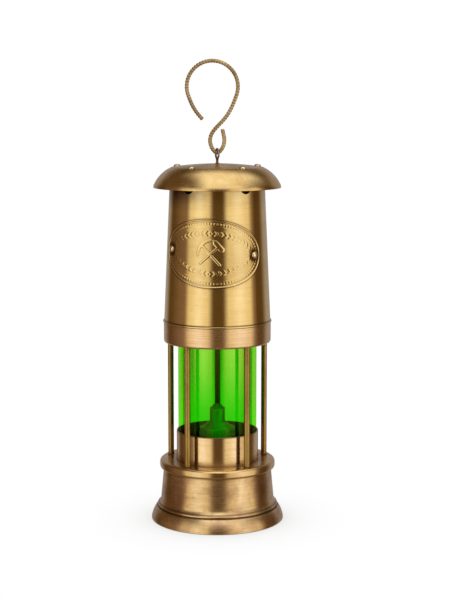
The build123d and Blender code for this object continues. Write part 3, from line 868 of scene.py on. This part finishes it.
def name_plate(material):
    """Oval plate bent to the bonnet, with a rim, a ring of beads, an emblem and a wreath in relief."""
    rings, spokes = 104, 400
    rho = np.concatenate([np.linspace(0.012, 0.86, rings * 2 // 3), np.linspace(0.863, 1.0, rings // 3)])
    turn = np.linspace(0, 2 * np.pi, spokes, endpoint=False)
    u = (rho[:, None] * np.cos(turn)[None, :] * PLATE_A).ravel()
    v = (rho[:, None] * np.sin(turn)[None, :] * PLATE_B).ravel()
    height, dark = plate_relief(u, v)
    tilt = math.radians(PLATE_TILT)
    along = u * math.cos(tilt) - v * math.sin(tilt)
    rise = u * math.sin(tilt) + v * math.cos(tilt)
    face_lift, back_lift = 0.55, 0.02
    front = [on_bonnet(a, b, face_lift + h) for a, b, h in zip(along, rise, height)]
    back = [on_bonnet(a, b, back_lift) for a, b in zip(along, rise)]
    count = len(front)
    rows = len(rho)
    faces = []
    for face in faces_between(rows, spokes):
        faces += [face, [count + face[corner] for corner in (0, 3, 2, 1)]]
    last = (rows - 1) * spokes
    for step in range(spokes):
        a = last + step
        b = last + (step + 1) % spokes
        faces.append([a, b, count + b, count + a])
    faces.append(list(range(spokes))[::-1])
    faces.append([count + step for step in range(spokes)])
    piece = build("oval_plate", front + back, faces)
    shade = piece.data.attributes.new("recess", "FLOAT", "POINT")
    values = np.concatenate([dark, np.zeros(count)])
    if len(piece.data.vertices) == len(values):
        shade.data.foreach_set("value", values.astype(np.float32))
    return adopt(piece, "name_plate", material)


def dome(radius, height, steps=8):
    """Outline of a rivet head on z = 0, with a narrow upright edge."""
    edge = height * 0.18
    outline = [Vector((0, 0)), Vector((radius, 0)), Vector((radius, edge))]
    for step in range(1, steps + 1):
        turn = math.pi / 2 * step / steps
        outline.append(Vector((radius * math.cos(turn), edge + (height - edge) * math.sin(turn))))
    return outline


def plate_rivets(material):
    """Two dome rivets at the ends of the plate."""
    head_r, head_high = 2.25, 1.75
    shank_r, shank_long = 1.1, 2.6
    seat_lift = 0.45
    tilt = math.radians(PLATE_TILT)
    head = lathe_data(dome(head_r, head_high), 40)
    shank_outline = [(0, -shank_long, 0), (shank_r, -shank_long, 0.2), (shank_r, 0.1, 0), (0, 0.1, 0)]
    shank = lathe_data(rounded(shank_outline), 24)
    parts = []
    for side in (-1, 1):
        seat = on_bonnet(side * RIVET_ARC * math.cos(tilt), side * RIVET_ARC * math.sin(tilt), seat_lift)
        outward = Vector((seat.x, seat.y, 0)).normalized()
        lay = outward.to_track_quat("Z", "Y").to_matrix().to_4x4()
        place = Matrix.Translation(seat) @ lay
        parts += [moved(head, place), moved(shank, place)]
    return adopt(build("plate_rivet_pair", *merged(parts)), "plate_rivets", material)


CROWN_R = 29.6
CROWN_RISE = 2.2
CROWN_SPHERE_R = (CROWN_R ** 2 + CROWN_RISE ** 2) / (2 * CROWN_RISE)


def crown_drop(r):
    """How far the hood's crown lies below its top at a radius."""
    return CROWN_SPHERE_R - math.sqrt(CROWN_SPHERE_R ** 2 - r ** 2)


def hood(material):
    """Pressed hood with a low crown, a rounded shoulder and a thin lower edge."""
    rim, low, top = reach_of("hood")
    crown_z = top - CROWN_RISE
    sheet = 1.0
    bore = 1.52

    def crown(drop):
        steps = 14
        radii = [bore + (CROWN_R - bore) * step / steps for step in range(steps + 1)]
        return [Vector((r, top - drop - crown_drop(r))) for r in radii]

    def shoulder(drop):
        start = (CROWN_R, crown_z - drop)
        middle = (rim - 4.2 - drop * 0.75, crown_z - 5.4 - drop * 0.7)
        end = (rim - 0.15 - drop, low + 1.6)
        return arc_through(start, middle, end)[1:]

    outline = crown(0) + shoulder(0)
    outline += [Vector((rim, low + 0.5)), Vector((rim, low + 0.12)), Vector((rim - 0.15, low))]
    outline += [Vector((rim - sheet, low)), Vector((rim - sheet - 0.1, low + 0.3))]
    outline += list(reversed(shoulder(sheet))) + list(reversed(crown(sheet)))
    return adopt(lathe("hood_pressing", outline), "hood", material)


def hood_rivets(material):
    """Dome rivets square to the crown, with upright shanks and clenched feet."""
    head_r, head_high = 2.2, 1.3
    shank_r, foot_r, foot_high = 1.2, 1.8, 0.8
    seat_r = 27.6
    slope = math.asin(seat_r / CROWN_SPHERE_R)
    seat = top_of("hood") - crown_drop(seat_r)
    shank_top = seat - 0.1
    place = Matrix.Translation((0, -seat_r, seat)) @ Matrix.Rotation(slope, 4, "X")
    head = moved(lathe_data(dome(head_r, head_high), 32), place)
    low = foot_of("hood_rivets")
    shank_outline = rounded([
        (0, low, 0), (foot_r, low, 0.3), (foot_r, low + foot_high, 0.1), (shank_r, low + foot_high, 0),
        (shank_r, shank_top, 0), (0, shank_top, 0),
    ], 3)
    shank = moved(lathe_data(shank_outline, 24), Matrix.Translation((0, -seat_r, 0)))
    piece = build("hood_rivet_set", *around(merged([head, shank]), PATTERN_ANGLES))
    return adopt(piece, "hood_rivets", material)


# ---- Hook ----

def cubic_through(points, start_run, end_run, spacing):
    """Smooth cubic curve through points, with given end directions and chord lengths as its parameter."""
    p = np.array(points, float)
    chord = np.hypot(*np.diff(p, axis=0).T)
    count = len(p)
    system = np.zeros((count, count))
    right = np.zeros((count, 2))
    system[0, 0] = system[-1, -1] = 1
    right[0] = np.array(start_run) / np.hypot(*start_run)
    right[-1] = np.array(end_run) / np.hypot(*end_run)
    for i in range(1, count - 1):
        a, b = chord[i - 1], chord[i]
        system[i, i - 1:i + 2] = (b, 2 * (a + b), a)
        right[i] = 3 * (b * (p[i] - p[i - 1]) / a + a * (p[i + 1] - p[i]) / b)
    runs = np.linalg.solve(system, right)
    out = []
    for i in range(count - 1):
        steps = max(2, int(chord[i] / spacing))
        for t in np.arange(steps) / steps:
            h = chord[i]
            out.append(
                (2 * t ** 3 - 3 * t ** 2 + 1) * p[i] + (t ** 3 - 2 * t ** 2 + t) * h * runs[i]
                + (3 * t ** 2 - 2 * t ** 3) * p[i + 1] + (t ** 3 - t ** 2) * h * runs[i + 1]
            )
    out.append(p[-1])
    return np.array(out)


def hook_centreline():
    """Open tip, big loop, crossing diagonal, small bend through the eye, free end."""
    bend = JOINT["hook_tilt"]["pos_m"][2] / MM
    spacing = 0.3
    loop_r, swing = 16.4, math.radians(20)
    centre = np.array((-3.1, bend + 42.05))
    reach = np.array((loop_r * math.cos(swing), 0))
    left = centre - reach - (0, loop_r * math.sin(swing))
    right = centre + reach - (0, loop_r * math.sin(swing))
    tip_z = bend + 21.15
    side_x, side_z = 4.4, bend + 5.95
    tip_path = [(-9.3, tip_z), (-15.5, bend + 29.35), left]
    tip = cubic_through(tip_path, (-0.7, 0.75), (-math.sin(swing), math.cos(swing)), spacing)
    turn = np.linspace(math.pi + swing, -swing, 170)
    loop = centre + loop_r * np.stack([np.cos(turn), np.sin(turn)], 1)
    tail_path = [right, (4.3, tip_z), (-side_x, side_z), (0, bend), (side_x, side_z), (3.4, bend + 15.05)]
    tail = cubic_through(tail_path, (-math.sin(swing), -math.cos(swing)), (-0.1, 1), spacing)
    return np.concatenate([tip[:-1], loop[:-1], tail])


def squared(turn, sharpness=1.75):
    """Relative radius of a square wire's section with soft edges, 1 at its edges."""
    flat = 1 / (abs(math.cos(turn)) ** 3 + abs(math.sin(turn)) ** 3) ** (1 / 3)
    flat = flat / 2 ** (1 / 6)
    return 1 - (1 - flat) * sharpness


def twisted_hook(material):
    """Square brass wire with a barley-sugar twist, drawn rounder at the small bend."""
    path = hook_centreline()
    runs = np.gradient(path, axis=0)
    runs /= np.hypot(*runs.T)[:, None]
    travelled = np.concatenate([[0], np.cumsum(np.hypot(*np.diff(path, axis=0).T))])
    total = travelled[-1]
    wire_r, full_turn = 1.3, 7.4
    end_size, end_run = 0.72, 0.6
    most_worn, worn_run, worn_fade = 0.55, 34.0, 10.0
    sides = 20
    points = []
    sections = []
    for place, run, far in zip(path, runs, travelled):
        side = Vector((run[1], 0, -run[0]))
        up = Vector((0, 1, 0))
        to_end = min(far, total - far)
        shrink = end_size + (1 - end_size) * min(1.0, to_end / end_run)
        worn = most_worn * smooth_step(np.array((far - total + worn_run) / worn_fade))
        twist = 2 * math.pi * far / full_turn
        ring = []
        for turn in turns(sides):
            square = squared(turn)
            radius = wire_r * shrink * (square + (1 - square) * float(worn))
            ring.append((side * math.cos(turn + twist) + up * math.sin(turn + twist)) * radius)
        points.append(Vector((place[0], 0, place[1])))
        sections.append(ring)
    return adopt(build("twisted_hook", *tube_along(points, sections)), "hook", material)


def braided_wick(material):
    """Round braided wick with a rounded top."""
    edge, low, high = reach_of("wick")
    r = edge - 0.02
    crown_high, crown_in = 1.6, 0.93
    strands, slant, braid_depth = 6, 2.1, 0.045
    rows = 120
    sides = 48
    points = []
    sections = []
    for row in range(rows + 1):
        t = row / rows
        z = low + (high - low) * t
        crown = max(0.0, (z - high + crown_high) / crown_high)
        size = r * math.sqrt(max(0.02, 1 - crown_in * crown ** 2))
        ring = []
        for turn in turns(sides):
            braid = math.sin(turn * strands + z * slant) * math.sin(turn * strands - z * slant)
            depth = size * (1 - braid_depth + braid_depth * braid)
            ring.append(Vector((depth * math.cos(turn), depth * math.sin(turn), 0)))
        points.append(Vector((0, 0, z)))
        sections.append(ring)
    return adopt(build("braided_wick", *tube_along(points, sections)), "wick", material)


# ---- Assembly ----

def brasses():
    """The lamp's brass finishes, by where they are used."""
    return {
        "body": brass(
            "brass_spun", rgb(0.80, 0.58, 0.27), rgb(0.54, 0.33, 0.12), 0.22, brush=0.25, blotch=0.8),
        "chimney": brass(
            "brass_chimney", rough=0.12, brush=0.3, blotch=0.4, seams=(LIP_TOP + 0.3,), stain=(204, 218)),
        "vessel": brass(
            "brass_vessel", rgb(0.88, 0.64, 0.34), rgb(0.50, 0.30, 0.17), 0.25, brush=0.45, blotch=0.95,
            seams=(9.2, 11.35)),
        # painted light: a near-white base colour makes the burner look brightly lit inside the glass
        "burner": brass(
            "brass_burner_painted_bright", rgb(1.0, 0.94, 0.72), rgb(0.95, 0.80, 0.50), 0.55, brush=0.2, blotch=0.2,
            patina=0.3),
        "deck": brass(
            "brass_deck", rgb(0.80, 0.56, 0.29), rgb(0.54, 0.34, 0.16), 0.17, brush=0.4, blotch=0.6),
        "ring": brass("brass_ring", ROSE, BRASS_DEEP, 0.22, brush=0.5, blotch=0.4),
        "turned": brass(
            "brass_turned", rgb(0.88, 0.65, 0.37), rgb(0.66, 0.43, 0.23), 0.14, brush=0.5, blotch=0.45,
            seams=(top_of("glass_cup") - 0.2,), darker_facing_axis=True),
        "sooty": brass("brass_sooty", rgb(0.30, 0.20, 0.10), rgb(0.14, 0.09, 0.04), 0.4, brush=0.3),
        "plate": brass("brass_plate", rough=0.14, brush=0.25, blotch=0.45, recess="recess"),
        "rod": brass(
            "brass_rod", rgb(0.52, 0.34, 0.11), rgb(0.36, 0.24, 0.06), 0.36, brush=0.3, blotch=0.8,
            turned=False, darker_facing_axis=True),
        "wire": brass(
            "brass_wire", rgb(0.66, 0.49, 0.27), rgb(0.27, 0.16, 0.07), 0.3, brush=0.4, blotch=0.9,
            turned=False),
        "pin": brass("brass_pin", rgb(0.34, 0.29, 0.24), rgb(0.14, 0.11, 0.09), 0.35, turned=False),
        "rivet": brass(
            "brass_rivet", rgb(0.92, 0.76, 0.48), rough=0.16, brush=0.2, blotch=0.2, turned=False),
    }


def draw_pieces(metal, cotton):
    """The pieces that are drawn again with more detail than the CAD shape has."""
    base_shell(metal["vessel"])
    bottom_plate(metal["vessel"])
    wadding(cotton)
    lower_ring(metal["deck"])
    glass_cup(metal["turned"])
    glass_tube(green_glass())
    pillars(metal["rod"])
    upper_ring(metal["ring"])
    bonnet(metal["chimney"])
    name_plate(metal["plate"])
    plate_rivets(metal["rivet"])
    hood(metal["body"])
    hood_rivets(metal["rivet"])
    twisted_hook(metal["wire"])
    braided_wick(cotton)


def dress_cad_pieces(metal, seal):
    """The pieces that keep their CAD shape get a finish."""
    finishes = (
        (metal["sooty"], ("fount_collar", "gauze_ring", "crown_ring")),
        (metal["wire"], ("pillar_screws",)),
        (metal["burner"], ("burner_cap", "wick_tube")),
        (metal["pin"], ("eye_washer", "split_pin_eye")),
        (seal, ("base_seal", "burner_seal", "lower_gasket", "upper_gasket")),
        (wire_cloth(), ("gauze",)),
    )
    for material, nodes in finishes:
        for node in nodes:
            dress(node, material)


def dress_lamp():
    metal = brasses()
    seal = rubber()
    cotton = cloth("cotton", rgb(0.80, 0.74, 0.62), rgb(0.46, 0.40, 0.30), 900)
    draw_pieces(metal, cotton)
    dress_cad_pieces(metal, seal)


# ---- Studio ----

# Azimuths in degrees, 0 towards the camera and + to its right.
SOFT_BOXES = ((-42, 19.5), (51, 24))      # middle and half width of the left and right box
BOX_FADE = 15
BOX_FACE = (1.20, 1.17, 1.10)
BOX_EDGE = (1.01, 0.91, 0.66)
DARK_ROOM = (0.115, 0.065, 0.022)
SIDE_WALL = (0.26, 0.17, 0.12)
BACK_WALL = (0.38, 0.35, 0.35)
BACK_STARTS = (-150, 138)                # where the back wall begins on the left and on the right
BACK_FADE = 25
CEILING = (0.12, 0.075, 0.035)
TOP_LIGHT = (1.30, 1.28, 1.20)
TOP_LIGHT_X = (-0.60, -0.16, 0.50, 0.84)        # sideways reach of the strip light overhead
TOP_LIGHT_Y = (0.25, 0.55)                       # where it fades out towards the back
TOP_LIGHT_Z = (0.32, 0.66)                       # where the room gives way to what is overhead
UNDERSIDE = (0.22, 0.16, 0.10)
UNDERSIDE_Z = (-0.75, -0.35)                     # where the floor below gives way to the room


def surroundings():
    """(azimuth, colour) stops of the room: soft boxes, the dark between them, walls beside and behind."""
    beside = ((SIDE_WALL, DARK_ROOM), (DARK_ROOM, SIDE_WALL))
    left, right = BACK_STARTS
    stops = [(-180, BACK_WALL), (left, BACK_WALL), (left + BACK_FADE, DARK_ROOM)]
    for (middle, half), (before, after) in zip(SOFT_BOXES, beside):
        stops += [
            (middle - half - BOX_FADE, before), (middle - half, BOX_EDGE), (middle, BOX_FACE),
            (middle + half, BOX_EDGE), (middle + half + BOX_FADE, after),
        ]
    wall_end = stops[-1][0] + BOX_FADE / 2
    stops += [(wall_end, DARK_ROOM), (right - BACK_FADE, DARK_ROOM)]
    return stops + [(right, BACK_WALL), (180, BACK_WALL)]


def studio_world():
    """Two tall soft boxes with a dark gap between them, a soft top light and a white backdrop."""
    world = bpy.data.worlds.new("studio")
    bpy.context.scene.world = world
    world.cycles.sampling_method = "NONE"
    g = Graph(world)
    x, y, z = g.split(g.node("ShaderNodeTexCoord").outputs["Generated"])
    azimuth = g.math("ARCTAN2", x, g.times(y, -1.0))
    factor = g.plus(g.math("DIVIDE", azimuth, 2 * math.pi), 0.5)
    sides = g.node("ShaderNodeValToRGB")
    sides.color_ramp.interpolation = "EASE"
    stops = sides.color_ramp.elements
    room = surroundings()
    while len(stops) < len(room):
        stops.new(0.5)
    for stop, (angle, colour) in zip(stops, room):
        stop.position = angle / 360 + 0.5
        stop.color = rgb(*colour)
    g.put(sides.inputs[0], factor)
    left, left_lit, right_lit, right = TOP_LIGHT_X
    strip = g.times(g.ramp(x, left, left_lit), g.ramp(x, right_lit, right, 1.0, 0.0))
    strip = g.times(strip, g.ramp(y, *TOP_LIGHT_Y, 1.0, 0.0))
    above = g.mix(strip, rgb(*CEILING), rgb(*TOP_LIGHT))
    around_colour = g.mix(g.ramp(z, *UNDERSIDE_Z), rgb(*UNDERSIDE), sides.outputs[0])
    around_colour = g.mix(g.ramp(z, *TOP_LIGHT_Z), around_colour, above)
    path = g.node("ShaderNodeLightPath")
    bounced = g.math("SUBTRACT", path.outputs["Ray Depth"], path.outputs["Transmission Depth"])
    seen = g.math("MAXIMUM", path.outputs["Is Camera Ray"], g.math("LESS_THAN", bounced, 1.5))
    colour = g.mix(seen, around_colour, rgb(1.0, 1.0, 1.0))
    sky = g.node("ShaderNodeBackground")
    g.put(sky.inputs["Color"], colour)
    out = g.node("ShaderNodeOutputWorld")
    g.tree.links.new(sky.outputs[0], out.inputs["Surface"])


def floor():
    """Pale floor that shows only a soft contact shadow."""
    g = Graph("pale_floor")
    near = g.node("ShaderNodeAmbientOcclusion", samples=12)
    near.inputs["Distance"].default_value = 60 * MM
    shade = g.ramp(near.outputs["AO"], 0.2, 1.0)
    colour = g.mix(shade, rgb(0.62, 0.60, 0.58), rgb(1.0, 1.0, 1.0))
    glow = g.node("ShaderNodeEmission")
    g.put(glow.inputs["Color"], colour)
    material = g.output(glow.outputs[0])
    steps = 64
    floor_r = 4000.0
    gap = 0.05
    ring = [(point.x, point.y, 0) for point in arc((0, 0), floor_r, 0, 360, steps)[:-1]]
    piece = build("floor", ring, [list(range(steps))])
    piece.location.z = -gap * MM
    piece.data.materials.append(material)
    piece.visible_glossy = False
    piece.visible_diffuse = False
    piece.visible_shadow = False


def camera():
    """Slightly above the hood, looking a little down, with a long lens."""
    data = bpy.data.cameras.new("camera")
    place = (4.7, -970.0, 278.6)
    pitch_down = 7.8
    data.lens = 90.15
    data.sensor_width = 36.0
    data.clip_start = 0.01
    data.clip_end = 50.0
    made = bpy.data.objects.new("camera", data)
    made.location = Vector(place) * MM
    made.rotation_euler = (math.radians(90 - pitch_down), 0, 0)
    bpy.context.scene.collection.objects.link(made)
    bpy.context.scene.camera = made


dress_lamp()
studio_world()
floor()
camera()
bpy.context.scene.view_settings.view_transform = "Standard"
